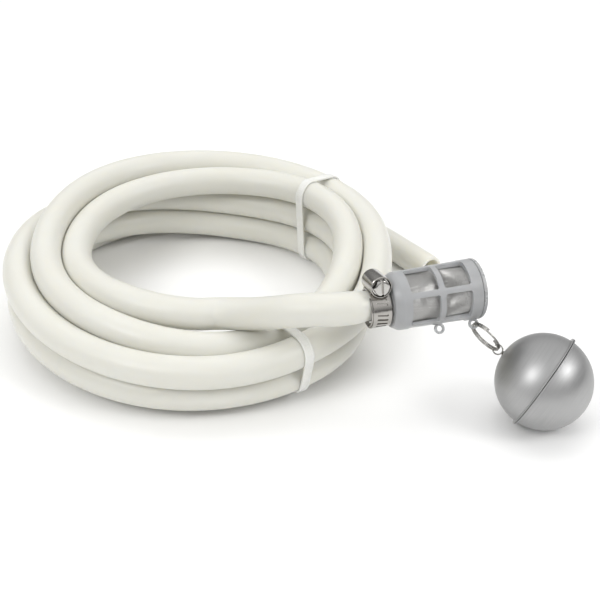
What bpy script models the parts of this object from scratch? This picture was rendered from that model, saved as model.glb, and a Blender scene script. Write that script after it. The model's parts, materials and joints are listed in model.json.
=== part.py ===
"""Floating suction hose: a coil of soft hose tied with two cable ties, a worm drive clamp,
a caged strainer with a steel gauze sleeve, and a hollow steel float on a split ring.

Metres, +Z up.  The origin is on the floor, under the middle of the clamp, strainer and float.
"""
import math

import bmesh
import bpy
from mathutils import Matrix, Vector

MM = 0.001
CLEAR = 0.3 * MM                       # gap left between neighbours that touch
MERGE = 0.00001

# Hose
HOSE_R = 8.0 * MM                      # outside radius
BORE_R = 6.0 * MM                      # inside radius
COIL_CENTRE = Vector((-133.4, 87.3, 0.0)) * MM
COIL_IN, COIL_OUT = 60.0 * MM, 107.0 * MM
COIL_HEIGHT, COIL_CORNER = 48.0 * MM, 11.0 * MM
TIE_TOP = 43.6 * MM                    # the straps pass under the lead
TIE_FRONT, TIE_REAR = -57.0, 46.0       # degrees round the coil, from +X
TIE_WIDTH, TIE_THICK = 4.8 * MM, 1.2 * MM
TIE_HEAD_WIDTH = 7.4 * MM
TIE_HEAD_HEIGHT = (18.0 * MM, 25.6 * MM)
TIE_HEAD_REACH = (-0.6 * MM, 4.4 * MM)      # measured out of the bundle's side

# Strainer: its own frame has X along the axis, away from the hose, and Z up
RIDGE = Vector((-36.6, 6.6, 57.7)) * MM      # where the shoulder meets the cage
YAW = math.radians(16.7)
CAGE_X0, CAGE_X1 = -3.5 * MM, 39.0 * MM
CAGE_R0, CAGE_R1 = 13.8 * MM, 14.6 * MM     # at the ridge and at the cap
CAGE_BORE = 12.3 * MM
CAP_X1 = 41.2 * MM
WINDOWS = ((4.0 * MM, 17.8 * MM), (20.3 * MM, 33.6 * MM))
RIBS = 5
RIB_ANGLE = 36.4                       # degrees above the horizontal, towards -Y
RIB_WIDTH = 11.6                       # degrees
BARB_R, BARB_BORE = 5.2 * MM, 3.8 * MM
BARB_X = -20.0 * MM
LUG_ANGLE = -50.0                      # degrees above the horizontal, towards -Y
LUG_TURN = 33.0                        # degrees, the way the lugs' holes run
LUG_R, LUG_HOLE_R, LUG_THICK = 2.4 * MM, 1.5 * MM, 1.8 * MM
LUG_UP = 2.0 * MM                      # the lug holes' height above the cage
LUG_X = (19.1 * MM, 36.4 * MM)

# Hose clamp, a size too large, so it hangs from the top of the squeezed hose
CLAMP_X, CLAMP_WIDTH = -9.0 * MM, 9.0 * MM
CLAMP_ANGLE = 101.0                    # degrees, where the screw housing sits
CLAMP_DROP = 1.6 * MM                  # the band's middle is this far under the hose's
CUFF_R, CUFF_X0, CUFF_X1 = 7.0 * MM, -22.0 * MM, -3.8 * MM
BAND_R, BAND_THICK = 8.9 * MM, 0.6 * MM     # inside radius
SCREW_R, SCREW_UP = 2.5 * MM, 12.3 * MM     # thread radius, axis above the band's middle
HOUSING_R, HOUSING_LENGTH = 5.1 * MM, 11.0 * MM
HOOD_R, HOOD_LENGTH = 4.7 * MM, 2.5 * MM    # the open front that shades the screw's head
SADDLE_WIDTH, SADDLE_LENGTH = 9.0 * MM, 9.6 * MM
COLLAR_R, COLLAR_THICK = 4.3 * MM, 0.8 * MM
HEX_R, HEX_LENGTH = 4.04 * MM, 3.2 * MM     # 7 mm across the flats
SLOT_WIDTH, SLOT_DEPTH = 1.2 * MM, 1.6 * MM

# Float, eye and split ring
FLOAT_R, SHELL_THICK = 23.0 * MM, 0.6 * MM
FLANGE_R, FLANGE_THICK = 24.4 * MM, 0.55 * MM
FLOAT_CENTRE = Vector((34.1, -9.2, 23.0)) * MM
FLOAT_POLE = Vector((-0.806, 0.425, 0.411)).normalized()
EYE_R, EYE_WIRE = 2.3 * MM, 0.35 * MM
RING_WIRE, RING_PITCH, RING_TURNS = 0.48 * MM, 1.08 * MM, 1.9
RING_START = math.radians(110.0)
RING_SLACK = 0.8 * MM                  # the ring is this much shorter than the holes' distance

# Routes of the free ends, in millimetres, chosen by hand
LEAD_ROUTE = ((-58.1, 0.2, 57.7), (-64.7, -0.8, 57.7), (-72.7, -0.2, 57.2), (-81.7, 2.0, 55.4),
              (-90.7, 6.2, 51.8), (-100.2, 12.0, 47.4), (-110.2, 18.0, 43.6), (-120.2, 22.2, 41.2))
TAIL_ROUTE = ((-60.4, 183.8, 8.0), (-44.2, 173.4, 8.0), (-31.0, 160.5, 8.0), (-21.2, 146.6, 8.0),
              (-12.0, 133.4, 8.0))
TAIL_END_LENGTH = 12.0 * MM


def clear_scene():
    for thing in list(bpy.data.objects):
        bpy.data.objects.remove(thing, do_unlink=True)


def material(name, color, roughness, metallic=0.0):
    mat = bpy.data.materials.new(name)
    mat.use_nodes = True
    shader = mat.node_tree.nodes["Principled BSDF"]
    shader.inputs["Base Color"].default_value = (*color, 1.0)
    shader.inputs["Roughness"].default_value = roughness
    shader.inputs["Metallic"].default_value = metallic
    return mat


def place(name, data, mat, matrix=None, parent=None):
    """Adds an object; matrix is its place in the parent's frame."""
    thing = bpy.data.objects.new(name, data)
    bpy.context.collection.objects.link(thing)
    data.materials.clear()
    data.materials.append(mat)
    if parent is not None:
        thing.parent = parent
    if matrix is not None:
        thing.matrix_local = matrix
    return thing


def empty(name, matrix, parent=None):
    thing = bpy.data.objects.new(name, None)
    bpy.context.collection.objects.link(thing)
    thing.parent = parent
    thing.matrix_local = matrix
    return thing


def frame(origin, x_axis, z_hint):
    """A frame with X along x_axis and Z as near z_hint as it can be."""
    x = x_axis.normalized()
    y = z_hint.cross(x).normalized()
    z = x.cross(y)
    turn = Matrix((x, y, z)).transposed().to_4x4()
    return Matrix.Translation(origin) @ turn


def to_mesh(bm, name, smooth_angle=40.0):
    bmesh.ops.remove_doubles(bm, verts=bm.verts, dist=MERGE)
    bmesh.ops.recalc_face_normals(bm, faces=bm.faces)
    mesh = bpy.data.meshes.new(name)
    bm.to_mesh(mesh)
    bm.free()
    mesh.shade_smooth()
    mesh.set_sharp_from_angle(angle=math.radians(smooth_angle))
    return mesh


def turned(name, outline, steps=40):
    """Turns a closed outline of (along X, radius) points around the X axis."""
    bm = bmesh.new()
    verts = [bm.verts.new((x, 0.0, r)) for x, r in outline]
    pairs = zip(verts, verts[1:] + verts[:1])
    edges = [bm.edges.new(pair) for pair in pairs if max(pair[0].co.z, pair[1].co.z) > MERGE]
    bmesh.ops.spin(bm, geom=edges, cent=(0, 0, 0), axis=(1, 0, 0), angle=2 * math.pi,
                   steps=steps, use_merge=True, use_duplicate=False)
    return to_mesh(bm, name)


def prism(name, outline, start, end):
    """Extrudes an outline of (y, z) points along X from start to end."""
    bm = bmesh.new()
    face = bm.faces.new([bm.verts.new((start, y, z)) for y, z in outline])
    moved = bmesh.ops.extrude_face_region(bm, geom=[face])["geom"]
    verts = [item for item in moved if isinstance(item, bmesh.types.BMVert)]
    bmesh.ops.translate(bm, verts=verts, vec=(end - start, 0, 0))
    return to_mesh(bm, name)


def loft(name, sections):
    """Joins closed sections, each a list of points, into one ring-shaped skin."""
    bm = bmesh.new()
    rings = [[bm.verts.new(point) for point in section] for section in sections]
    for ring, following in zip(rings, rings[1:] + rings[:1]):
        count = len(ring)
        for i in range(count):
            j = (i + 1) % count
            bm.faces.new((ring[i], ring[j], following[j], following[i]))
    return to_mesh(bm, name)


def arc(centre, radius, start, end, steps):
    """Points on an arc in the plane, with angles in degrees."""
    points = []
    for i in range(steps + 1):
        angle = math.radians(start + (end - start) * i / steps)
        points.append((centre[0] + radius * math.cos(angle), centre[1] + radius * math.sin(angle)))
    return points


def boolean(target, cutter, operation="DIFFERENCE"):
    cutter.hide_render = True
    cutter.display_type = "WIRE"
    step = target.modifiers.new(operation.lower(), "BOOLEAN")
    step.operation = operation
    step.solver = "EXACT"
    step.object = cutter


def smooth_route(points, spacing):
    """Reads points a given distance apart from a Catmull-Rom curve through a route."""
    knots = [Vector(point) * MM for point in points]
    knots = [2 * knots[0] - knots[1]] + knots + [2 * knots[-1] - knots[-2]]
    fine = []
    for a, b, c, d in zip(knots, knots[1:], knots[2:], knots[3:]):
        for i in range(20):
            t = i / 20
            fine.append(0.5 * (2 * b + (c - a) * t + (2 * a - 5 * b + 4 * c - d) * t ** 2
                               + (3 * b - a - 3 * c + d) * t ** 3))
    fine.append(knots[-2])
    total = sum((q - p).length for p, q in zip(fine, fine[1:]))
    count = max(2, round(total / spacing))
    result, walked, goal = [fine[0]], 0.0, total / count
    for p, q in zip(fine, fine[1:]):
        walked += (q - p).length
        if walked >= goal * len(result) and len(result) < count:
            result.append(q)
    return result + [fine[-1]]


def tube(name, points, radius, mat):
    curve = bpy.data.curves.new(name, "CURVE")
    curve.dimensions = "3D"
    curve.bevel_depth = radius
    curve.bevel_resolution = 4
    curve.use_fill_caps = True
    spline = curve.splines.new("POLY")
    spline.points.add(len(points) - 1)
    for target, point in zip(spline.points, points):
        target.co = (*point, 1.0)
    return place(name, curve, mat)


def bundle_outline(inner, outer, bottom, top, corner, steps=3):
    """A rounded box around the bundle of turns, as (radius, height) points."""
    points = []
    corners = (((outer - corner, bottom + corner), -90), ((outer - corner, top - corner), 0),
               ((inner + corner, top - corner), 90), ((inner + corner, bottom + corner), 180))
    for centre, start in corners:
        points += arc(centre, corner, start, start + 90, steps)
    return points


def coil(mat):
    """The outer shape of the wound turns, with seats cut for the two free ends."""
    outline = bundle_outline(COIL_IN, COIL_OUT, 0.0, COIL_HEIGHT, COIL_CORNER)
    bm = bmesh.new()
    verts = [bm.verts.new((r, 0.0, z)) for r, z in outline]
    edges = [bm.edges.new(pair) for pair in zip(verts, verts[1:] + verts[:1])]
    bmesh.ops.spin(bm, geom=edges, cent=(0, 0, 0), axis=(0, 0, 1), angle=2 * math.pi,
                   steps=56, use_merge=True, use_duplicate=False)
    return place("hose_coil", to_mesh(bm, "hose_coil"), mat, Matrix.Translation(COIL_CENTRE))


def swept(name, points, radius, steps=16):
    """A closed tube of mesh through the points, for cutting."""
    bm = bmesh.new()
    rings = []
    for i, point in enumerate(points):
        along = points[min(i + 1, len(points) - 1)] - points[max(i - 1, 0)]
        place_ring = frame(point, along, Vector((0, 0, 1)))
        rings.append([bm.verts.new(place_ring @ Vector((0, y, z)))
                      for y, z in arc((0, 0), radius, 0, 360, steps)[:-1]])
    for ring, following in zip(rings, rings[1:]):
        for i in range(steps):
            j = (i + 1) % steps
            bm.faces.new((ring[i], ring[j], following[j], following[i]))
    bm.faces.new(rings[0])
    bm.faces.new(rings[-1][::-1])
    return to_mesh(bm, name)


def seat_cutter(name, points, coil_solid, mat):
    """Cuts the coil clear of a free end whose first point lies outside of it."""
    stretched = points[:-1] + [points[-1] + (points[-1] - points[-2]).normalized() * CLEAR]
    boolean(coil_solid, place(name, swept(name, stretched, HOSE_R + CLEAR), mat))


def free_ends(coil_solid, mat):
    """The lead to the clamp, and the tail that ends in a plain square cut."""
    lead = smooth_route(LEAD_ROUTE, 2.0 * HOSE_R)
    axis = Matrix.Rotation(YAW, 4, "Z") @ Vector((1, 0, 0))
    start = RIDGE + axis * (CUFF_X0 - CLEAR)
    lead = [start, start - axis * 4.0 * MM] + lead[1:]
    tube("hose_lead", lead, HOSE_R, mat)
    seat_cutter("lead_seat", lead, coil_solid, mat)

    tail = smooth_route(TAIL_ROUTE, 2.0 * HOSE_R)
    tube("hose_tail", tail, HOSE_R, mat)
    seat_cutter("tail_seat", tail[::-1], coil_solid, mat)
    along = (tail[-1] - tail[-2]).normalized()
    end = frame(tail[-1] + along * CLEAR, along, Vector((0, 0, 1)))
    outline = ((0.0, BORE_R), (0.0, HOSE_R), (TAIL_END_LENGTH, HOSE_R), (TAIL_END_LENGTH, BORE_R))
    place("hose_outlet_end", turned("hose_outlet_end", outline, 24), mat, end)


def cable_tie(name, angle, head_inside, coil_solid, mat):
    """A strap pulled around the bundle, with its locking head, sunk in a groove of the coil."""
    turn = Matrix.Rotation(math.radians(angle + 90.0), 4, "Z")
    where = Matrix.Translation(COIL_CENTRE) @ turn
    sink = TIE_THICK + 0.1 * MM
    corner = COIL_CORNER - MM

    def ring(inward, outward):
        """The strap's outline; both values are measured into and out of the bundle."""
        grow = outward - inward
        outline = bundle_outline(COIL_IN + sink - grow, COIL_OUT - sink + grow, sink - grow,
                                 TIE_TOP - TIE_THICK + grow, corner + grow)
        return [(-r, z) for r, z in outline]

    def band(half, inner, outer):
        return [[(x, y, z) for y, z in outline] for x, outline in
                ((-half, inner), (-half, outer), (half, outer), (half, inner))]

    half = TIE_WIDTH / 2
    strap = place(name, loft(name, band(half, ring(0.0, 0.0), ring(0.0, TIE_THICK))), mat, where)
    groove = loft(name + "_groove", band(half + CLEAR, ring(CLEAR, 0.0), ring(0.0, 4.0 * TIE_THICK)))
    boolean(coil_solid, place(name + "_groove", groove, mat, where))

    side, outward = (COIL_IN, -1.0) if head_inside else (COIL_OUT, 1.0)

    def head(piece_name, grow):
        near, far = TIE_HEAD_REACH[0] - grow, TIE_HEAD_REACH[1] + grow
        low, high = TIE_HEAD_HEIGHT[0] - grow, TIE_HEAD_HEIGHT[1] + grow
        outline = [(-(side + outward * reach), z) for reach, z in
                   ((near, low), (far, low), (far, high), (near, high))]
        wide = TIE_HEAD_WIDTH / 2 + grow
        return place(piece_name, prism(piece_name, outline, -wide, wide), mat, where)

    boolean(strap, head(name + "_head", 0.0), "UNION")
    boolean(coil_solid, head(name + "_head_seat", 2 * CLEAR))


def cuff(where, mat):
    """The hose's inlet end, pushed over the barb and squeezed by the clamp."""
    bore = BARB_R + CLEAR
    outline = [(CUFF_X0, HOSE_R), (CUFF_X0 + 4.5 * MM, HOSE_R - 0.25 * MM),
               (CLAMP_X - CLAMP_WIDTH / 2 - MM, CUFF_R), (CUFF_X1, CUFF_R), (CUFF_X1, bore),
               (BARB_X - CLEAR, bore), (CUFF_X0, BORE_R - 0.2 * MM)]
    place("hose_inlet_end", turned("hose_inlet_end", outline, 32), mat, parent=where)


def clamp_housing(axis, where, steel):
    """A barrel around the screw, open at the front, on a saddle that follows the band."""
    half, front = HOUSING_LENGTH / 2, HOUSING_LENGTH / 2 + HOOD_LENGTH
    barrel = turned("clamp_housing", ((-half, 0), (-half, HOUSING_R), (front, HOUSING_R), (front, 0)), 28)
    housing = place("clamp_housing", barrel, steel, axis, where)
    side, low = SADDLE_WIDTH / 2, BAND_R - SCREW_UP - 2.0 * MM
    block = prism("saddle", ((-side, low), (side, low), (side, 0), (-side, 0)),
                  -SADDLE_LENGTH / 2, SADDLE_LENGTH / 2)
    boolean(housing, place("saddle", block, steel, axis, where), "UNION")
    bore_r, past = SCREW_R + CLEAR, front + MM
    outline = ((-past, 0), (-past, bore_r), (half, bore_r), (half, HOOD_R), (past, HOOD_R), (past, 0))
    boolean(housing, place("housing_bore", turned("housing_bore", outline, 24), steel, axis, where))
    clear_r, reach = BAND_R + BAND_THICK + CLEAR, CLAMP_X + 3 * CLAMP_WIDTH
    outline = ((-reach, 0), (-reach, clear_r), (reach, clear_r), (reach, 0))
    boolean(housing, place("band_room", turned("band_room", outline, 64), steel, parent=where))


def clamp_screw(axis, where, steel):
    """Thread, collar and slotted hexagon, on the screw's own axis."""
    half = HOUSING_LENGTH / 2
    head_x = half + CLEAR
    collar_x = head_x + COLLAR_THICK
    thread = turned("clamp_screw", ((-half, 0), (-half, SCREW_R), (head_x, SCREW_R),
                                    (head_x, COLLAR_R), (collar_x, COLLAR_R), (collar_x, 0)), 24)
    screw = place("clamp_screw", thread, steel, axis, where)
    corners, tip = arc((0, 0), HEX_R, 0, 300, 5), collar_x + HEX_LENGTH
    hexagon = prism("screw_hexagon", corners, collar_x - 0.4 * MM, tip)
    boolean(screw, place("screw_hexagon", hexagon, steel, axis, where), "UNION")
    side, past = SLOT_WIDTH / 2, HEX_R + MM
    slot = prism("screw_slot", ((-side, -past), (side, -past), (side, past), (-side, past)),
                 tip - SLOT_DEPTH, tip + MM)
    boolean(screw, place("screw_slot", slot, steel, axis, where))


def clamp(where, steel, screw_steel):
    """Perforated band, screw housing and hexagon head screw of a worm drive clamp."""
    x0, x1 = CLAMP_X - CLAMP_WIDTH / 2, CLAMP_X + CLAMP_WIDTH / 2
    outside = BAND_R + BAND_THICK
    outline = ((x0, BAND_R), (x0, outside), (x1, outside), (x1, BAND_R))
    place("clamp_band", turned("clamp_band", outline, 48), steel, parent=where)
    axis = frame(Vector((CLAMP_X, 0, SCREW_UP)), Vector((0, -1, 0)), Vector((0, 0, 1)))
    clamp_housing(axis, where, steel)
    clamp_screw(axis, where, screw_steel)


def cage_radius(x):
    return CAGE_R0 + (CAGE_R1 - CAGE_R0) * x / CAGE_X1


def around(angle, radius, x):
    """A point of the strainer's frame; the angle is degrees above -Y."""
    turn = math.radians(angle)
    return Vector((x, -radius * math.cos(turn), radius * math.sin(turn)))


def window_cutters(where, mat):
    """One mesh of separate blocks, one for each window of the cage."""
    bm = bmesh.new()
    span = 360.0 / RIBS - RIB_WIDTH
    steps = 5
    for x0, x1 in WINDOWS:
        for rib in range(RIBS):
            start = RIB_ANGLE + RIB_WIDTH / 2 + rib * 360.0 / RIBS
            angles = [start + span * i / steps for i in range(steps + 1)]
            sections = []
            for angle in angles:
                low, high = CAGE_BORE - MM, CAGE_R1 + MM
                corners = ((x0, low), (x1, low), (x1, high), (x0, high))
                sections.append([bm.verts.new(around(angle, r, x)) for x, r in corners])
            for a, b in zip(sections, sections[1:]):
                for i in range(4):
                    j = (i + 1) % 4
                    bm.faces.new((a[i], a[j], b[j], b[i]))
            bm.faces.new(sections[0])
            bm.faces.new(sections[-1][::-1])
    return place("cage_windows", to_mesh(bm, "cage_windows"), mat, parent=where)


def lug_hole_point(x):
    return around(LUG_ANGLE, cage_radius(x) + LUG_UP, x)


def lug_frame(x, hinge):
    """A lug's hole, with X along the hole's axis."""
    return frame(lug_hole_point(x), hinge, Vector((1, 0, 0)))


def strainer(where, hinge, plastic, gauze):
    wall = 1.8 * MM
    outline = [(CAGE_X0, BARB_R), (CAGE_X0, 12.0 * MM), (0.0, CAGE_R0), (CAGE_X1, CAGE_R1),
               (CAGE_X1, CAGE_BORE), (CAGE_X0 + wall, CAGE_BORE), (CAGE_X0 + wall, BARB_BORE),
               (BARB_X, BARB_BORE), (BARB_X, BARB_R - 0.9 * MM)]
    for x in (-17.5 * MM, -13.0 * MM, -8.5 * MM):
        outline += [(x, BARB_R), (x + 0.3 * MM, BARB_R - 0.6 * MM)]
    body = place("strainer_body", turned("strainer_body", outline, 40), plastic, parent=where)
    boolean(body, window_cutters(where, plastic))

    half = LUG_THICK / 2
    disc = turned("lug", ((-half, 0), (-half, LUG_R), (half, LUG_R), (half, 0)), 16)
    reach = 3 * MM
    bore = ((-reach, 0), (-reach, LUG_HOLE_R), (reach, LUG_HOLE_R), (reach, 0))
    hole = turned("lug_hole", bore, 12)
    for i, x in enumerate(LUG_X):
        boolean(body, place("lug_%d" % i, disc, plastic, lug_frame(x, hinge), where), "UNION")
    for i, x in enumerate(LUG_X):
        boolean(body, place("lug_hole_%d" % i, hole, plastic, lug_frame(x, hinge), where))

    sleeve_out, sleeve_in = CAGE_BORE - CLEAR, CAGE_BORE - CLEAR - 0.4 * MM
    sleeve = ((CAGE_X0 + wall + CLEAR, sleeve_in), (CAGE_X0 + wall + CLEAR, sleeve_out),
              (35.4 * MM, sleeve_out), (35.4 * MM, sleeve_in))
    place("strainer_gauze", turned("strainer_gauze", sleeve, 32), gauze, parent=where)

    spigot_out, spigot_in = CAGE_BORE - CLEAR, CAGE_BORE - 1.5 * MM
    face = CAGE_X1 + CLEAR
    edge = 1.0 * MM
    cap = [(35.8 * MM, spigot_in), (35.8 * MM, spigot_out), (face, spigot_out), (face, CAGE_R1)]
    cap += arc((CAP_X1 - edge, CAGE_R1 - edge), edge, 90, 0, 3)
    cap += [(CAP_X1, 0.0), (face, 0.0), (face, spigot_in)]
    place("strainer_cap", turned("strainer_cap", cap, 40), plastic, parent=where)


def split_ring(reach, hinge, joint, steel):
    """A flat double coil of wire from the lug, at the joint, to the float's eye."""
    radius = (reach.length - RING_SLACK) / 2
    along = reach.normalized()
    normal = along.cross(hinge).normalized()
    count = 34
    points = []
    for i in range(count + 1):
        turns = RING_TURNS * i / count
        angle = 2 * math.pi * turns + RING_START
        spoke = math.cos(angle) * along + math.sin(angle) * hinge
        lift = RING_PITCH * (turns - RING_TURNS / 2)
        points.append(reach / 2 + radius * spoke + lift * normal)
    ring = tube("split_ring", points, RING_WIRE, steel)
    ring.data.bevel_resolution = 2
    ring.parent = joint


def dome(radius, side, level, steps=8):
    """A quarter circle as (along the pole, radius) points, from the pole to a level above the seam."""
    low = math.asin(level / radius)
    angles = [math.pi / 2 + (low - math.pi / 2) * i / steps for i in range(steps + 1)]
    points = [(side * radius * math.sin(angle), radius * math.cos(angle)) for angle in angles]
    return [(points[0][0], 0.0)] + points[1:]


def float_shell(name, side, pole_frame, joint, steel):
    """Half of the float: a thin dome and its share of the welded flange."""
    seam, lip = CLEAR / 2, CLEAR / 2 + FLANGE_THICK
    outline = dome(FLOAT_R, side, lip) + [(side * lip, FLANGE_R), (side * seam, FLANGE_R)]
    outline += dome(FLOAT_R - SHELL_THICK, side, seam)[::-1]
    place(name, turned(name, outline, 32), steel, pole_frame, joint)


def float_eye(pole_frame, pole, hinge, joint, steel):
    """A wire loop at the joint, whose foot is welded to the top of the float."""
    across = hinge - pole * hinge.dot(pole)
    wire = arc((0.0, EYE_R), EYE_WIRE, 0, 315, 7)
    loop = place("float_eye", turned("float_eye", wire, 24), steel, frame(Vector(), across, pole), joint)
    foot, tip = FLOAT_R + CLEAR, FLOAT_R + 0.8 * MM
    stem = turned("eye_stem", ((foot, 0), (foot, 0.9 * MM), (tip, 0.7 * MM), (tip, 0)), 12)
    boolean(loop, place("eye_stem", stem, steel, pole_frame, joint), "UNION")


def build():
    clear_scene()
    silicone = material("milky silicone", (0.80, 0.79, 0.72), 0.35)
    nylon = material("natural nylon", (0.86, 0.86, 0.82), 0.45)
    steel = material("polished steel", (0.72, 0.70, 0.67), 0.2, 1.0)
    screw_steel = material("bright screw steel", (0.75, 0.74, 0.72), 0.12, 1.0)
    brushed = material("brushed steel", (0.62, 0.62, 0.61), 0.38, 1.0)
    plastic = material("clear polypropylene", (0.78, 0.80, 0.82), 0.35)
    gauze = material("steel gauze", (0.45, 0.44, 0.41), 0.45, 1.0)

    coil_solid = coil(silicone)
    free_ends(coil_solid, silicone)
    cable_tie("cable_tie_front", TIE_FRONT, True, coil_solid, nylon)
    cable_tie("cable_tie_rear", TIE_REAR, False, coil_solid, nylon)

    strainer_axis = Matrix.Translation(RIDGE) @ Matrix.Rotation(YAW, 4, "Z")
    intake = empty("intake_axis", strainer_axis)
    lean = Matrix.Rotation(math.radians(90.0 - CLAMP_ANGLE), 4, "X")
    clamp_axis = empty("clamp_axis", Matrix.Translation((0, 0, -CLAMP_DROP)) @ lean, intake)
    cuff(intake, silicone)
    clamp(clamp_axis, steel, screw_steel)

    lug_hole = strainer_axis @ lug_hole_point(LUG_X[1])
    eye_hole = FLOAT_CENTRE + FLOAT_POLE * (FLOAT_R + CLEAR + EYE_WIRE + EYE_R)
    reach = eye_hole - lug_hole
    link = reach.normalized()
    sideways = strainer_axis.to_3x3() @ around(LUG_TURN, 1.0, 0.0)
    hinge = (sideways - link * sideways.dot(link)).normalized()
    strainer(intake, strainer_axis.to_3x3().inverted() @ hinge, plastic, gauze)

    ring_joint = empty("ring_joint", Matrix.Translation(lug_hole))
    float_joint = empty("float_joint", Matrix.Translation(reach), ring_joint)
    pole_frame = frame(FLOAT_CENTRE - eye_hole, FLOAT_POLE, Vector((0, 0, 1)))
    split_ring(reach, hinge, ring_joint, steel)
    float_eye(pole_frame, FLOAT_POLE, hinge, float_joint, steel)
    float_shell("float_shell_upper", 1.0, pole_frame, float_joint, brushed)
    float_shell("float_shell_lower", -1.0, pole_frame, float_joint, brushed)


build()
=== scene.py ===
"""Looks of the floating suction hose: a coil of milky silicone hose tied with two cable ties,
a worm drive clamp, a caged strainer with a woven gauze, and a brushed steel float.

Metres, +Z up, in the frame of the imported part.
"""

import json
import math

import bmesh
import bpy
import numpy as np
from mathutils import Matrix, Vector


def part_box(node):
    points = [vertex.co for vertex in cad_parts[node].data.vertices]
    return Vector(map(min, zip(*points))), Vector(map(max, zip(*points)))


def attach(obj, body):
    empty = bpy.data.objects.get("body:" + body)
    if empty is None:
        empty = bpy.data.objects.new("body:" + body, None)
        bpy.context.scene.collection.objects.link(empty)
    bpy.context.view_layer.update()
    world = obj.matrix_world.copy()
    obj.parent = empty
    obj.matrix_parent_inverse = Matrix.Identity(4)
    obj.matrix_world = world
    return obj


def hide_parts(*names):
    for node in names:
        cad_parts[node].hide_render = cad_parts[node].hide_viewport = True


MM = 0.001
UP = Vector((0.0, 0.0, 1.0))
GAP = 0.3 * MM                         # between pieces that don't move on each other
SHARP = 35.0                           # degrees past which an edge stays sharp

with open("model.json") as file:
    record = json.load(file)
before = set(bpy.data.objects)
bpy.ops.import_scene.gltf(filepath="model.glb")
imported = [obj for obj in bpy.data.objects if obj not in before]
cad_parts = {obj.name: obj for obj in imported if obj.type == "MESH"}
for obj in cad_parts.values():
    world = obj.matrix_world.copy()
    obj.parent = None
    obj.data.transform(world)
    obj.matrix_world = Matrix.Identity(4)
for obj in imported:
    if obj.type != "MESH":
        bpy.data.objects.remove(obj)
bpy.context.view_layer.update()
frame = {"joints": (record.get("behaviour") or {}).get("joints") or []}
joints = {joint["name"]: joint for joint in frame["joints"]}

ROOT, SCREW, CAP, RING, FLOAT = "hose_and_strainer", "screw", "cap", "ring", "float"

# Camera
CAMERA_AT = Vector((-80.7, -432.3, 325.8)) * MM
CAMERA_DOWN = 31.36                    # degrees below the horizontal
LENS = 66.1                            # on a 36 mm sensor

# Hose
HOSE_R, BORE_R = 8.0 * MM, 6.0 * MM
HOSE_STEP = 3.0 * MM
LEAD_HELD, TAIL_HELD = 150.0 * MM, 95.0 * MM    # lengths at the ends that stay as drawn
# Where the five turns lie over each other: at each place round the coil (degrees, seen from
# above), the radius and height of every turn's centre in millimetres, from the first turn on.
SEATS = (
    (280.0, (66.5, 41.0), (80.5, 31.0), (97.0, 28.0), (92.0, 12.5), (74.0, 8.0)),
    (234.5, (65.0, 43.0), (80.0, 37.5), (93.5, 29.0), (92.0, 13.0), (76.0, 8.0)),
    (183.0, (67.0, 41.0), (83.0, 44.0), (97.0, 34.5), (97.0, 18.5), (84.5, 8.0)),
    (131.0, (75.5, 43.5), (91.5, 49.5), (94.0, 31.0), (95.0, 15.0), (106.0, 8.0)),
    (82.0, (79.5, 44.5), (96.0, 47.0), (88.0, 26.0), (88.5, 9.5), (104.5, 8.0)),
    (37.0, (84.0, 44.0), (100.0, 40.5), (86.5, 26.5), (84.5, 10.5)),
    (-3.5, (78.0, 36.5), (94.0, 34.5), (84.0, 21.5), (74.0, 8.0)),
    (-41.0, (75.5, 28.5), (96.0, 31.5), (92.0, 16.0), (73.5, 8.0)),
)
LEAD_ROUTE = ((-58.1, 0.2, 57.7), (-64.7, -0.8, 57.7), (-72.7, -0.2, 57.2), (-81.7, 2.0, 55.4),
              (-90.7, 6.2, 51.8), (-100.2, 12.0, 47.4), (-110.2, 18.0, 43.6), (-120.2, 22.2, 41.2))
TAIL_ROUTE = ((-60.4, 183.8, 8.0), (-44.2, 173.4, 8.0), (-31.0, 160.5, 8.0), (-21.2, 146.6, 8.0),
              (-12.0, 133.4, 8.0), (-4.97, 123.31, 8.0))

# Cable ties
TIE_FRONT, TIE_REAR = -57.0, 46.0       # degrees round the coil, from +X
TIE_WIDTH, TIE_THICK = 4.8 * MM, 1.15 * MM
TIE_HEAD = Vector((7.4, 5.2, 7.6)) * MM
TIE_SLOT = Vector((5.3, 1.7, 9.0)) * MM
TIE_STUB = 11.0 * MM

# Strainer, in its own frame: X along the axis, away from the hose
GAUZE_MIDDLE = 17.0 * MM
GAUZE_X0, GAUZE_X1 = -1.4 * MM, 35.4 * MM
GAUZE_WIRE, GAUZE_WIRES = 0.105 * MM, 132
SPIGOT_X0 = 35.8 * MM
CAGE_X0, CAGE_X1, CAP_X1 = -3.5 * MM, 39.0 * MM, 41.2 * MM
CAGE_R0, CAGE_R1, CAGE_BORE = 13.8 * MM, 14.6 * MM, 12.3 * MM
WINDOWS = ((4.0 * MM, 17.8 * MM), (20.3 * MM, 33.6 * MM))
RIBS, RIB_ANGLE, RIB_WIDTH = 5, 36.4, 11.6
BARB_R, BARB_BORE, BARB_X = 5.2 * MM, 3.8 * MM, -20.0 * MM
LUG_X, LUG_UP, LUG_ANGLE = (19.1 * MM, 36.4 * MM), 2.0 * MM, -50.0
LUG_R, LUG_HOLE_R, LUG_THICK = 2.4 * MM, 1.5 * MM, 1.8 * MM
LUG_FULLER = 1.35                      # how much thicker than its solid a lug's ring looks

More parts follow.
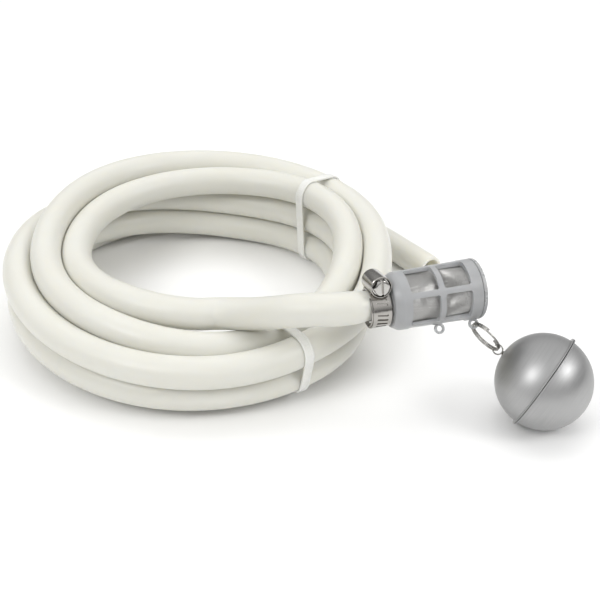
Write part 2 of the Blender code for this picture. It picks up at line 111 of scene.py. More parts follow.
# Clamp
CLAMP_X, CLAMP_WIDTH, CLAMP_ANGLE, CLAMP_DROP = -9.0 * MM, 9.0 * MM, 101.0, 1.6 * MM
BAND_R, BAND_THICK = 8.9 * MM, 0.6 * MM
CUFF_X1 = -3.8 * MM
SCREW_UP = 12.3 * MM
HOUSING_R, HOUSING_LENGTH = 5.1 * MM, 11.0 * MM
HOOD_R, HOOD_LENGTH = 4.7 * MM, 2.5 * MM
SADDLE_WIDTH, SADDLE_LENGTH = 9.0 * MM, 9.6 * MM
COLLAR_R, COLLAR_THICK = 4.3 * MM, 0.8 * MM
HEX_LENGTH, HEX_FLAT, HEX_CORNER = 3.2 * MM, 3.5 * MM, 3.95 * MM
SLOT_WIDTH, SLOT_DEPTH = 1.2 * MM, 1.6 * MM
WORM_CORE, WORM_CREST, WORM_PITCH = 2.0 * MM, 2.5 * MM, 1.25 * MM
BAND_SLOTS, BAND_SLOT_STEP, BAND_SLOT_START, BAND_SLOT_LEAN = 20, 15.4, 34.0, -9.0    # degrees
BAND_SLOT_HALF, BAND_SLOT_R = 2.25 * MM, 0.52 * MM

# Float
FLOAT_R, SHELL_THICK = 23.0 * MM, 0.6 * MM
FLANGE_R, FLANGE_THICK = 24.4 * MM, 0.55 * MM
EYE_R, EYE_WIRE = 2.3 * MM, 0.35 * MM
RING_WIRE, RING_PITCH, RING_TURNS, RING_SLACK = 0.48 * MM, 1.08 * MM, 1.9, 0.8 * MM


# ---------------------------------------------------------------- places

def basis(origin, x_axis, z_hint):
    """A frame with X along x_axis and Z as near z_hint as it can be."""
    x = x_axis.normalized()
    y = z_hint.cross(x).normalized()
    z = x.cross(y)
    return Matrix.Translation(origin) @ Matrix((x, y, z)).transposed().to_4x4()


def middle(*nodes):
    lows, highs = zip(*(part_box(node) for node in nodes))
    low = Vector([min(v[i] for v in lows) for i in range(3)])
    high = Vector([max(v[i] for v in highs) for i in range(3)])
    return (low + high) / 2


def joint_point(name):
    return Vector(joints[name]["pos_m"])


def joint_axis(name):
    return Vector(joints[name]["axis"]).normalized()


AXIS = joint_axis("cap_pull")
INTAKE = basis(middle("strainer_gauze") - AXIS * GAUZE_MIDDLE, AXIS, UP)
CLAMP = (INTAKE @ Matrix.Translation((0.0, 0.0, -CLAMP_DROP))
         @ Matrix.Rotation(math.radians(90.0 - CLAMP_ANGLE), 4, "X"))
SCREW_FRAME = basis(joint_point("screw_turn"), joint_axis("screw_turn"), CLAMP.to_3x3() @ UP)
COIL_CENTRE = Vector((*middle("hose_coil").xy, 0.0))
LUG_HOLE, EYE_HOLE = joint_point("ring_swing"), joint_point("float_swing")
HINGE = joint_axis("ring_swing")
FLOAT_CENTRE = middle("float_shell_upper", "float_shell_lower")
POLE = (EYE_HOLE - FLOAT_CENTRE).normalized()


# ---------------------------------------------------------------- mesh helpers

def finish_mesh(name, bm, mat, matrix=None, smooth_angle=SHARP):
    bmesh.ops.remove_doubles(bm, verts=bm.verts, dist=0.000002)
    bmesh.ops.recalc_face_normals(bm, faces=bm.faces)
    mesh = bpy.data.meshes.new(name)
    bm.to_mesh(mesh)
    bm.free()
    mesh.shade_smooth()
    mesh.set_sharp_from_angle(angle=math.radians(smooth_angle))
    mesh.materials.append(mat)
    own = mesh.attributes.new("own", "FLOAT_VECTOR", "POINT")
    for place, vert in zip(own.data, mesh.vertices):
        place.vector = vert.co
    if matrix is not None:
        mesh.transform(matrix)
    thing = bpy.data.objects.new(name, mesh)
    bpy.context.scene.collection.objects.link(thing)
    return thing


def arc(centre, radius, start, end, steps):
    """Points on an arc, with angles in degrees."""
    points = []
    for i in range(steps + 1):
        angle = math.radians(start + (end - start) * i / steps)
        points.append((centre[0] + radius * math.cos(angle), centre[1] + radius * math.sin(angle)))
    return points


def turned(bm, outline, steps=96, matrix=None):
    """Turns a closed outline of (along X, radius) points around the X axis."""
    verts = [bm.verts.new((x, 0.0, r)) for x, r in outline]
    pairs = zip(verts, verts[1:] + verts[:1])
    edges = [bm.edges.new(pair) for pair in pairs if max(pair[0].co.z, pair[1].co.z) > 1e-7]
    before = len(bm.verts) - len(verts)
    bmesh.ops.spin(bm, geom=edges, cent=(0, 0, 0), axis=(1, 0, 0), angle=2 * math.pi,
                   steps=steps, use_merge=True, use_duplicate=False)
    if matrix is not None:
        bm.verts.ensure_lookup_table()
        bmesh.ops.transform(bm, matrix=matrix, verts=bm.verts[before:])


def sweep(bm, rings, closed_path=False):
    """Skins a list of rings of points, each ring closed on itself, and caps an open path's ends."""
    made = [[bm.verts.new(point) for point in ring] for ring in rings]
    last = made[:1] if closed_path else []
    for ring, following in zip(made, made[1:] + last):
        count = len(ring)
        for i in range(count):
            j = (i + 1) % count
            bm.faces.new((ring[i], ring[j], following[j], following[i]))
    if not closed_path:
        bm.faces.new(made[0])
        bm.faces.new(made[-1][::-1])


def travelling_frames(points, start_up):
    """A frame at each point, X along the line, turned as little as possible."""
    frames, up = [], Vector(start_up)
    for i, point in enumerate(points):
        ahead = points[min(i + 1, len(points) - 1)] - points[max(i - 1, 0)]
        turn = basis(point, ahead, up)
        up = turn.to_3x3() @ UP
        frames.append(turn)
    return frames


def wire(bm, points, radius, sides, start_up):
    """A round wire along the points."""
    rings = [[turn @ Vector((0, y, z)) for y, z in arc((0, 0), radius, 0, 360, sides)[:-1]]
             for turn in travelling_frames(points, start_up)]
    sweep(bm, rings)


def boolean(target, cutter):
    """Cuts the cutter's shape out of the target at once, and drops the cutter."""
    step = target.modifiers.new("cut", "BOOLEAN")
    step.operation, step.solver, step.object = "DIFFERENCE", "EXACT", cutter
    bpy.context.view_layer.update()
    done = bpy.data.meshes.new_from_object(target.evaluated_get(bpy.context.evaluated_depsgraph_get()))
    target.modifiers.clear()
    target.data = done
    bpy.data.objects.remove(cutter)


def rounded(thing, width, segments):
    """Rounds the sharp edges of a mesh."""
    step = thing.modifiers.new("rounding", "BEVEL")
    step.width, step.segments = width, segments
    step.limit_method, step.angle_limit = "ANGLE", math.radians(SHARP)
    step.harden_normals = False
    return thing


def block(bm, size, matrix):
    """A box of the given size centred on the matrix."""
    bmesh.ops.create_cube(bm, size=1.0, matrix=matrix @ Matrix.Diagonal((*size, 1.0)))


# ---------------------------------------------------------------- materials

class Paint:
    """A Principled material and short calls for the nodes that feed it."""

    def __init__(self, name, color, roughness, **sockets):
        self.mat = bpy.data.materials.new(name)
        self.mat.use_nodes = True
        self.tree = self.mat.node_tree
        self.base = self.tree.nodes["Principled BSDF"]
        self.base.inputs["Base Color"].default_value = (*color, 1.0)
        self.base.inputs["Roughness"].default_value = roughness
        for socket, value in sockets.items():
            self.base.inputs[socket.replace("_", " ")].default_value = value
        self.place = self.node("ShaderNodeAttribute", attribute_name="own").outputs["Vector"]

    def node(self, kind, **settings):
        made = self.tree.nodes.new(kind)
        for key, value in settings.items():
            setattr(made, key, value)
        return made

    def link(self, source, target):
        self.tree.links.new(source, target)
        return self

    def stretched(self, scale, source=None):
        mapping = self.node("ShaderNodeMapping")
        mapping.inputs["Scale"].default_value = scale
        self.link(source or self.place, mapping.inputs["Vector"])
        return mapping.outputs["Vector"]

    def noise(self, scale, detail=3.0, source=None):
        made = self.node("ShaderNodeTexNoise")
        made.inputs["Scale"].default_value = scale
        made.inputs["Detail"].default_value = detail
        self.link(source or self.place, made.inputs["Vector"])
        return made.outputs["Fac"]

    def math(self, operation, first, second=None):
        made = self.node("ShaderNodeMath", operation=operation)
        for socket, value in zip(made.inputs, (first, second)):
            if value is None:
                continue
            if isinstance(value, (int, float)):
                socket.default_value = value
            else:
                self.link(value, socket)
        return made.outputs["Value"]

    def span(self, value, low, high):
        """Stretches the middle of a noise over the range from low to high."""
        made = self.node("ShaderNodeMapRange")
        for socket, number in (("From Min", 0.3), ("From Max", 0.7),
                               ("To Min", low), ("To Max", high)):
            made.inputs[socket].default_value = number
        self.link(value, made.inputs["Value"])
        return made.outputs["Result"]

    def colors(self, value, *stops):
        """A colour ramp through (position, colour) stops, into the base colour."""
        ramp = self.node("ShaderNodeValToRGB")
        elements = ramp.color_ramp.elements
        while len(elements) < len(stops):
            elements.new(0.5)
        for element, (position, color) in zip(elements, stops):
            element.position, element.color = position, (*color, 1.0)
        self.link(value, ramp.inputs["Fac"])
        self.link(ramp.outputs["Color"], self.base.inputs["Base Color"])
        return self

    def roughness(self, value, low, high):
        self.link(self.span(value, low, high), self.base.inputs["Roughness"])
        return self

    def bump(self, *heights):
        """Adds (height, strength, distance) layers of bump one over another."""
        under = None
        for height, strength, distance in heights:
            made = self.node("ShaderNodeBump")
            made.inputs["Strength"].default_value = strength
            made.inputs["Distance"].default_value = distance
            self.link(height, made.inputs["Height"])
            if under is not None:
                self.link(under, made.inputs["Normal"])
            under = made.outputs["Normal"]
        self.link(under, self.base.inputs["Normal"])
        return self

    def polar(self, radius):
        """Coordinates on a turned surface: along its profile, and round its X axis."""
        split = self.node("ShaderNodeSeparateXYZ")
        self.link(self.place, split.inputs["Vector"])
        x, y, z = (split.outputs[letter] for letter in "XYZ")
        out = self.math("SQRT", self.math("ADD", self.math("MULTIPLY", y, y),
                                          self.math("MULTIPLY", z, z)))
        along = self.math("MULTIPLY", self.math("ARCTAN2", out, x), radius)
        around = self.math("MULTIPLY", self.math("ARCTAN2", y, z), radius)
        join = self.node("ShaderNodeCombineXYZ")
        self.link(along, join.inputs["X"]).link(around, join.inputs["Y"])
        return join.outputs["Vector"]


def silicone():
    """Milky, slightly see-through hose with faint lines along it and fine dust."""
    paint = Paint("milky silicone", (0.66, 0.65, 0.60), 0.30, Subsurface_Weight=0.6,
                  Subsurface_Scale=0.006, IOR=1.41, Specular_IOR_Level=0.5)
    paint.base.inputs["Subsurface Radius"].default_value = (1.0, 0.92, 0.72)
    along = paint.node("ShaderNodeUVMap", uv_map="route").outputs["UV"]
    lines = paint.noise(1.0, 2.0, paint.stretched((6.0, 240.0, 1.0), along))
    cloud = paint.noise(22.0, 3.0)
    dust = paint.noise(1500.0, 2.0)
    paint.colors(cloud, (0.20, (0.70, 0.685, 0.61)), (0.80, (0.725, 0.715, 0.65)))
    paint.roughness(paint.noise(60.0, 2.0), 0.30, 0.36)
    paint.bump((lines, 0.05, 0.00005), (cloud, 0.06, 0.0004), (dust, 0.04, 0.00004))
    return paint.mat


def nylon():
    """Natural nylon: slightly cloudy, with the fine grain of its mould."""
    paint = Paint("natural nylon", (0.88, 0.88, 0.85), 0.42, Subsurface_Weight=0.4,
                  Subsurface_Scale=0.002, IOR=1.53)
    paint.base.inputs["Subsurface Radius"].default_value = (1.0, 0.95, 0.85)
    cloud = paint.noise(260.0, 3.0)
    paint.colors(cloud, (0.3, (0.74, 0.74, 0.70)), (0.7, (0.80, 0.80, 0.77)))
    paint.roughness(cloud, 0.34, 0.5)
    paint.bump((paint.noise(2600.0, 2.0), 0.12, 0.00004))
    return paint.mat


def clear_plastic():
    """Hazy clear polypropylene: bluish where it is thick, with faint flow lines."""
    paint = Paint("clear polypropylene", (0.80, 0.83, 0.87), 0.28, Subsurface_Weight=0.25,
                  Subsurface_Scale=0.002, Transmission_Weight=0.35, IOR=1.49)
    paint.base.inputs["Subsurface Radius"].default_value = (0.8, 0.9, 1.0)
    flow = paint.noise(60.0, 2.0, paint.stretched((0.35, 1.6, 1.0)))
    paint.colors(flow, (0.3, (0.50, 0.507, 0.515)), (0.7, (0.53, 0.535, 0.54)))
    paint.roughness(paint.noise(420.0, 3.0), 0.22, 0.38)
    paint.bump((flow, 0.15, 0.0006), (paint.noise(1800.0, 2.0), 0.06, 0.00005))
    return paint.mat


def metal(name, color, roughness, grain_scale):
    """Steel with a directional grain; the scale stretches the grain along an axis."""
    paint = Paint(name, color, roughness, Metallic=1.0)
    spread = 0.10
    grain = paint.noise(1.0, 3.0, paint.stretched(grain_scale))
    dark = tuple(0.86 * value for value in color)
    paint.colors(grain, (0.3, dark), (0.7, color))
    paint.roughness(grain, max(0.04, roughness - spread), roughness + spread)
    paint.bump((grain, 0.10, 0.00004), (paint.noise(90.0, 2.0), 0.15, 0.0003))
    return paint.mat


def brushed_float():
    """Steel brushed in circles round the float's pole, with a few deeper scratches."""
    paint = Paint("brushed steel", (0.66, 0.66, 0.66), 0.36, Metallic=1.0, Anisotropic=0.45)
    tangent = paint.node("ShaderNodeTangent", direction_type="UV_MAP", uv_map="brush")
    paint.link(tangent.outputs["Tangent"], paint.base.inputs["Tangent"])
    polar = paint.polar(FLOAT_R)
    fine = paint.noise(1.0, 4.0, paint.stretched((5200.0, 40.0, 1.0), polar))
    coarse = paint.noise(1.0, 2.0, paint.stretched((1500.0, 12.0, 1.0), polar))
    cloud = paint.noise(45.0, 3.0)
    paint.colors(paint.math("ADD", paint.math("MULTIPLY", fine, 0.7),
                            paint.math("MULTIPLY", cloud, 0.3)),
                 (0.35, (0.38, 0.38, 0.38)), (0.65, (0.46, 0.46, 0.46)))
    paint.roughness(fine, 0.38, 0.50)
    paint.bump((coarse, 0.12, 0.00006), (fine, 0.16, 0.00003))
    return paint.mat


SILICONE, NYLON, PLASTIC = silicone(), nylon(), clear_plastic()
BAND_STEEL = metal("rolled strip steel", (0.44, 0.425, 0.40), 0.15, (300.0, 900.0, 900.0))
SCREW_STEEL = metal("turned steel", (0.56, 0.55, 0.53), 0.16, (2500.0, 200.0, 200.0))
WIRE_STEEL = metal("drawn wire", (0.42, 0.41, 0.39), 0.24, (900.0, 900.0, 900.0))
GAUZE_STEEL = metal("woven steel wire", (0.66, 0.655, 0.64), 0.40, (2000.0, 2000.0, 2000.0))
FLOAT_STEEL = brushed_float()


# ---------------------------------------------------------------- hose

def through(knots, per_span):
    """A Catmull-Rom curve through the knots."""
    knots = [Vector(knot) for knot in knots]
    knots = [2 * knots[0] - knots[1]] + knots + [2 * knots[-1] - knots[-2]]
    points = []
    for a, b, c, d in zip(knots, knots[1:], knots[2:], knots[3:]):
        for i in range(per_span):
            t = i / per_span
            points.append(0.5 * (2 * b + (c - a) * t + (2 * a - 5 * b + 4 * c - d) * t ** 2
                                 + (3 * b - a - 3 * c + d) * t ** 3))
    return points + [knots[-2]]


def evenly(points, spacing):
    """Reads points an even distance apart along a line, about the spacing."""
    line = np.array(points, float)
    walked = np.concatenate([[0.0], np.cumsum(np.linalg.norm(np.diff(line, axis=0), axis=1))])
    places = np.linspace(0.0, walked[-1], max(2, round(walked[-1] / spacing)) + 1)
    return np.stack([np.interp(places, walked, line[:, i]) for i in range(3)], axis=1)


def wound_turns():
    """The turns as cylinder points, seat by seat, clockwise seen from above."""
    seats = []
    for turn in range(5):
        for angle, *places in SEATS:
            if turn < len(places):
                seats.append((angle - 360.0 * turn, *places[turn]))
    knots = through([Vector((angle, radius, height)) for angle, radius, height in seats], 16)
    turns = []
    for angle, radius, height in knots:
        turn = math.radians(angle)
        turns.append(COIL_CENTRE + Vector((radius * math.cos(turn), radius * math.sin(turn), height)) * MM)
    return turns


def settled(points, held_start, held_end):
    """Presses the turns apart to a hose's width and on to the floor, and leaves the ends be."""
    start = points.copy()
    count = len(points)
    index = np.arange(count)
    near = np.abs(index[:, None] - index[None, :]) < 45.0 * MM / HOSE_STEP
    loose = np.clip(np.minimum(index - held_start, held_end - index) / 20.0, 0.0, 1.0)[:, None]
    window = np.hanning(13)
    window /= window.sum()
    for _ in range(120):
        gap = points[:, None, :] - points[None, :, :]
        reach = np.sqrt((gap ** 2).sum(2)) + 1e-9
        press = np.clip(2.0 * HOSE_R + 0.1 * MM - reach, 0.0, None)
        press[near] = 0.0
        push = (gap / reach[:, :, None] * press[:, :, None])
        weight = np.maximum((press > 0).sum(1), 1)[:, None]
        points = points + 0.5 * loose * push.sum(1) / weight
        points[:, 2] = np.maximum(points[:, 2], HOSE_R)
        moved = points - start
        padded = np.pad(moved, ((6, 6), (0, 0)), mode="edge")
        smooth = np.stack([np.convolve(padded[:, i], window, mode="valid") for i in range(3)], axis=1)
        points = start + smooth
    return points


def hose_route():
    cuff = [INTAKE @ Vector((x, 0.0, 0.0)) for x in
            (CUFF_X1, CUFF_X1 - 4 * MM, CUFF_X1 - 9 * MM, CUFF_X1 - 14 * MM)]
    lead = [Vector(point) * MM for point in LEAD_ROUTE]
    tail = [Vector(point) * MM for point in TAIL_ROUTE]
    turns = wound_turns()[1:]
    line = through(cuff + lead, 8) + turns + through(tail, 8)
    line = evenly(through(evenly(line, 9.0 * MM), 6), HOSE_STEP)
    lead_points = round(LEAD_HELD / HOSE_STEP)
    tail_points = round(TAIL_HELD / HOSE_STEP)
    return settled(line, lead_points, len(line) - tail_points)


def hose_radius(walked, total):
    """The outside radius along the hose, with its squeezed neck in the clamp."""
    profile = ((0.0, 7.0), (9.6, 7.0), (11.0, 7.1), (12.5, 7.4), (14.5, 7.65), (18.2, 7.85),
               (23.0, 8.0), (total / MM - 1.0, 8.0), (total / MM - 0.3, 7.9), (total / MM, 7.6))
    places, radii = zip(*profile)
    return float(np.interp(walked / MM, places, radii)) * MM


def hose():
    route = [Vector(point) for point in hose_route()]
    fine = [Vector(point) for point in evenly(route[:8], 0.75 * MM)]
    line = fine + route[8:]
    steps = [(b - a).length for a, b in zip(line, line[1:])]
    walked = [0.0]
    for step in steps:
        walked.append(walked[-1] + step)
    total = walked[-1]
    frames = travelling_frames(line, UP)
    sides = 40
    bm = bmesh.new()
    layer = bm.loops.layers.uv.new("route")

    def ring(turn, radius):
        return [bm.verts.new(turn @ Vector((0, y, z))) for y, z in arc((0, 0), radius, 0, 360, sides)[:-1]]

    outer = [ring(turn, hose_radius(at, total)) for turn, at in zip(frames, walked)]
    inner = [ring(turn, float(np.interp(at, (16.0 * MM, 22.0 * MM), (BARB_R + 0.15 * MM, BORE_R))))
             for turn, at in zip(frames, walked)]
    rows = list(zip(walked, outer))
    back = list(zip(walked, inner))[::-1]
    loop = rows + back + rows[:1]
    for (at, first), (beyond, second) in zip(loop, loop[1:]):
        for i in range(sides):
            j = (i + 1) % sides
            face = bm.faces.new((first[i], first[j], second[j], second[i]))
            spots = ((at, i), (at, i + 1), (beyond, i + 1), (beyond, i))
            for corner, (u, v) in zip(face.loops, spots):
                corner[layer].uv = (u, v / sides)
    piece = finish_mesh("hose", bm, SILICONE, smooth_angle=50.0)
    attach(piece, ROOT)
    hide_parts("hose_coil", "hose_lead", "hose_tail", "hose_inlet_end", "hose_outlet_end")
    return piece, line, total


# ---------------------------------------------------------------- cable ties

def crossings(line, azimuth, ceiling):
    """Where the hose crosses a half plane through the coil's axis, as (radius, height)."""
    turn = math.radians(azimuth)
    out = Vector((math.cos(turn), math.sin(turn), 0.0))
    side = Vector((-out.y, out.x, 0.0))
    found = []
    for a, b in zip(line, line[1:]):
        before, after = (a - COIL_CENTRE).dot(side), (b - COIL_CENTRE).dot(side)
        if before * after < 0 and (a - COIL_CENTRE).dot(out) > 0:
            point = a.lerp(b, before / (before - after))
            if point.z < ceiling:
                found.append(((point - COIL_CENTRE).dot(out), point.z))
    return found


def hull(points):
    """The convex hull of 2-D points, anticlockwise."""
    points = sorted(set(points))

    def half(ordered):
        chain = []
        for p in ordered:
            while len(chain) > 1:
                (ax, ay), (bx, by) = chain[-2], chain[-1]
                if (bx - ax) * (p[1] - ay) - (by - ay) * (p[0] - ax) > 0:
                    break
                chain.pop()
            chain.append(p)
        return chain[:-1]

    return half(points) + half(points[::-1])


def strap_line(centres, offset, spacing):
    """An even closed line pulled tight round the turns, as (radius, height) points."""
    around = [p for centre in centres for p in arc(centre, HOSE_R + offset, 0, 360, 72)[:-1]]
    corners = hull(around)
    closed = np.array([(r, h, 0.0) for r, h in corners + corners[:1]])
    return [(r, h) for r, h, _ in evenly(closed, spacing)[:-1]]


def cable_tie(name, node, line, azimuth, ceiling, head_at, outer_limit=1.0):
    centres = [c for c in crossings(line, azimuth, ceiling) if c[0] < outer_limit]
    path = strap_line(centres, 0.05 * MM, 0.55 * MM)
    turn = math.radians(azimuth)
    out = Vector((math.cos(turn), math.sin(turn), 0.0))
    side = Vector((-out.y, out.x, 0.0))
    place = Matrix((out, side, UP)).transposed().to_4x4()
    place.translation = COIL_CENTRE
    half = TIE_WIDTH / 2
    count = len(path)
    bm = bmesh.new()
    rings = []
    for i, (r, h) in enumerate(path):
        (r0, h0), (r1, h1) = path[i - 1], path[(i + 1) % count]
        along = Vector((r1 - r0, 0.0, h1 - h0)).normalized()
        away = Vector((along.z, 0.0, -along.x))
        tooth = 0.16 * MM if i % 2 else 0.0
        outline = ((-half, 0.15), (-half + 0.2 * MM, 0.0), (half - 0.2 * MM, 0.0),
                   (half, 0.15), (half, 0.85), (half - 0.35 * MM, 1.0), (half - 0.8 * MM, 1.0),
                   (half - 0.9 * MM, None), (-half + 0.9 * MM, None), (-half + 0.8 * MM, 1.0),
                   (-half + 0.35 * MM, 1.0), (-half, 0.85))
        ring = []
        for across, up in outline:
            lift = TIE_THICK - 0.12 * MM - tooth if up is None else up * TIE_THICK
            ring.append(Vector((r, 0.0, h)) + away * lift + Vector((0.0, across, 0.0)))
        rings.append(ring)
    sweep(bm, rings, closed_path=True)
    strap = finish_mesh(name, bm, NYLON, place, smooth_angle=30.0)

    index = min(range(count), key=lambda i: (Vector(path[i]) - Vector(head_at)).length)
    (r0, h0), (r1, h1) = path[index - 2], path[(index + 2) % count]
    along = Vector((r1 - r0, 0.0, h1 - h0)).normalized()
    away = Vector((along.z, 0.0, -along.x))
    seat = Vector((path[index][0], 0.0, path[index][1])) + away * (TIE_HEAD.y / 2 - 0.2 * MM)
    turn_head = Matrix((Vector((0, 1, 0)), away, along)).transposed().to_4x4()
    turn_head.translation = seat
    bm = bmesh.new()
    block(bm, TIE_HEAD, turn_head)
    head = rounded(finish_mesh(name + "_head", bm, NYLON, place), 0.7 * MM, 3)
    bm = bmesh.new()
    block(bm, TIE_SLOT, turn_head @ Matrix.Translation((0, 0.3 * MM, 0)))
    boolean(head, finish_mesh(name + "_slot", bm, NYLON, place))
    head.data.materials.clear()
    head.data.materials.append(NYLON)
    bm = bmesh.new()
    block(bm, (TIE_WIDTH, TIE_THICK, TIE_STUB), turn_head @ Matrix.Translation((0, 0.3 * MM, 0.4 * MM)))
    stub = rounded(finish_mesh(name + "_stub", bm, NYLON, place), 0.2 * MM, 2)
    for piece in (strap, head, stub):
        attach(piece, ROOT)
    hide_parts(node)
    return [strap, head, stub]


# ---------------------------------------------------------------- clamp

def band_strip(start, end, radius, left, right, steps):
    """A strip with softened edges, bent round the clamp's axis; angles are degrees from the screw."""
    bm = bmesh.new()
    soft = 0.13 * MM
    outline = ((left, radius), (right, radius), (right, radius + BAND_THICK - soft),
               (right - soft, radius + BAND_THICK), (left + soft, radius + BAND_THICK),
               (left, radius + BAND_THICK - soft))
    rings = []
    for i in range(steps + 1):
        angle = math.radians(start + (end - start) * i / steps)
        rings.append([(x, r * math.sin(angle), r * math.cos(angle)) for x, r in outline])
    sweep(bm, rings)
    return bm


def clamp_band():
    """The strip, bent round the hose, with its row of slots and the end tucked under it."""
    x0, x1 = CLAMP_X - CLAMP_WIDTH / 2, CLAMP_X + CLAMP_WIDTH / 2
    band = finish_mesh("band", band_strip(0.0, 359.9, BAND_R, x0, x1, 180), BAND_STEEL, CLAMP)
    slots = bmesh.new()
    for i in range(BAND_SLOTS):
        angle = math.radians(BAND_SLOT_START + BAND_SLOT_STEP * i)
        turn = Matrix.Translation((CLAMP_X, BAND_R * math.sin(angle), BAND_R * math.cos(angle)))
        turn = turn @ Matrix.Rotation(-angle, 4, "X") @ Matrix.Rotation(math.radians(BAND_SLOT_LEAN), 4, "Z")
        rings = []
        for height in (-2.0 * MM, 2.0 * MM):
            outline = (arc((BAND_SLOT_HALF, 0.0), BAND_SLOT_R, -90, 90, 8)
                       + arc((-BAND_SLOT_HALF, 0.0), BAND_SLOT_R, 90, 270, 8))
            rings.append([turn @ Vector((x, y, height)) for x, y in outline])
        sweep(slots, rings)
    boolean(band, finish_mesh("slots", slots, BAND_STEEL, CLAMP))
    band.data.set_sharp_from_angle(angle=math.radians(35))
    tucked = band_strip(205.0, 322.0, BAND_R - BAND_THICK - 0.05 * MM, x0 - 0.7 * MM, x1 - 0.8 * MM, 60)
    tucked = finish_mesh("band_end", tucked, BAND_STEEL, CLAMP)
    for piece in (band, tucked):
        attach(piece, ROOT)
    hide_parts("clamp_band")


def band_room():
    """What the housing leaves free for the band."""
    bm = bmesh.new()
    room, reach = BAND_R + BAND_THICK + 0.05 * MM, 30.0 * MM
    turned(bm, [(-reach, 0.0), (-reach, room), (reach, room), (reach, 0.0)], 96)
    return finish_mesh("band_room", bm, BAND_STEEL, CLAMP)


def clamp_housing():
    """The pressed barrel over the screw, open at the front, on a saddle that follows the band."""
    half, front = HOUSING_LENGTH / 2, HOUSING_LENGTH / 2 + HOOD_LENGTH
    bore, edge = 2.9 * MM, 0.35 * MM
    outline = [(-half, bore), (-half, HOUSING_R - 0.9 * MM)]
    outline += [(-half + 0.9 * MM - x, HOUSING_R - 0.9 * MM + r)
                for x, r in arc((0, 0), 0.9 * MM, 15, 90, 5)]
    outline += [(front - edge / 2, HOUSING_R), (front, HOUSING_R - edge / 2), (front, HOOD_R),
                (half + 0.3 * MM, HOOD_R), (half, HOOD_R - 0.3 * MM), (half, bore)]
    bm = bmesh.new()
    turned(bm, outline, 96)
    housing = finish_mesh("housing", bm, BAND_STEEL, SCREW_FRAME, 30.0)
    boolean(housing, band_room())
    housing.data.set_sharp_from_angle(angle=math.radians(30))
    bm = bmesh.new()
    side, low, high = SADDLE_WIDTH / 2, BAND_R - SCREW_UP - 1.5 * MM, -2.2 * MM
    section = [(-side, low), (side, low), (side, low + 1.2 * MM), (side - 0.5 * MM, low + 2.2 * MM),
               (3.6 * MM, high), (-3.6 * MM, high), (-side + 0.5 * MM, low + 2.2 * MM),
               (-side, low + 1.2 * MM)]
    rings = []
    for x in (-SADDLE_LENGTH / 2, 0.0, SADDLE_LENGTH / 2):
        rings.append([(x, y, z) for y, z in section])
    sweep(bm, rings)
    saddle = rounded(finish_mesh("saddle", bm, BAND_STEEL, SCREW_FRAME), 0.25 * MM, 3)
    boolean(saddle, band_room())
    for piece in (housing, saddle):
        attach(piece, ROOT)
    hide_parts("clamp_housing")


def clamp_screw():
    """A worm thread, a collar, and a slotted hexagon head."""
    bm = bmesh.new()
    half = HOUSING_LENGTH / 2
    core, crest, pitch = WORM_CORE, WORM_CREST, WORM_PITCH
    outline = [(-half, 0.0), (-half, core)]
    x = -half + 0.3 * MM
    while x + pitch < half:
        outline += [(x, core), (x + 0.3 * pitch, crest), (x + 0.55 * pitch, crest),
                    (x + 0.85 * pitch, core)]
        x += pitch
    head = half + GAP
    collar, soft = head + COLLAR_THICK, 0.2 * MM
    outline += [(head, core), (head, COLLAR_R - soft), (head + soft, COLLAR_R), (collar - soft, COLLAR_R),
                (collar, COLLAR_R - soft), (collar, 0.0)]
    turned(bm, outline, 48)
    shank = finish_mesh("screw", bm, SCREW_STEEL, SCREW_FRAME)

    tip = collar + HEX_LENGTH
    bm = bmesh.new()
    rings = []
    for x, crown in ((collar - GAP, HEX_CORNER), (tip - 0.9 * MM, HEX_CORNER), (tip - 0.3 * MM, 3.5 * MM),
                     (tip - 0.05 * MM, 3.0 * MM), (tip, 2.6 * MM)):
        ring = []
        for i in range(72):
            angle = 2 * math.pi * i / 72
            to_flat = (angle + math.pi / 6) % (math.pi / 3) - math.pi / 6
            reach = min(HEX_FLAT / math.cos(to_flat), crown)
            ring.append((x, reach * math.cos(angle + math.pi / 6), reach * math.sin(angle + math.pi / 6)))
        rings.append(ring)
    sweep(bm, rings)
    hexagon = finish_mesh("screw_head", bm, SCREW_STEEL, SCREW_FRAME, 25.0)
    bm = bmesh.new()
    block(bm, (2 * SLOT_DEPTH, SLOT_WIDTH, 12 * MM), Matrix.Translation((tip, 0, 0)))
    boolean(hexagon, finish_mesh("slot", bm, SCREW_STEEL, SCREW_FRAME))
    hexagon.data.set_sharp_from_angle(angle=math.radians(25))
    for piece in (shank, hexagon):
        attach(piece, SCREW)
    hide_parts("clamp_screw")


# ---------------------------------------------------------------- strainer

def cage_radius(x):
    return CAGE_R0 + (CAGE_R1 - CAGE_R0) * x / CAGE_X1


def around(angle, radius, x):
    """A point of the strainer's frame; the angle is degrees above -Y."""
    turn = math.radians(angle)
    return Vector((x, -radius * math.cos(turn), radius * math.sin(turn)))


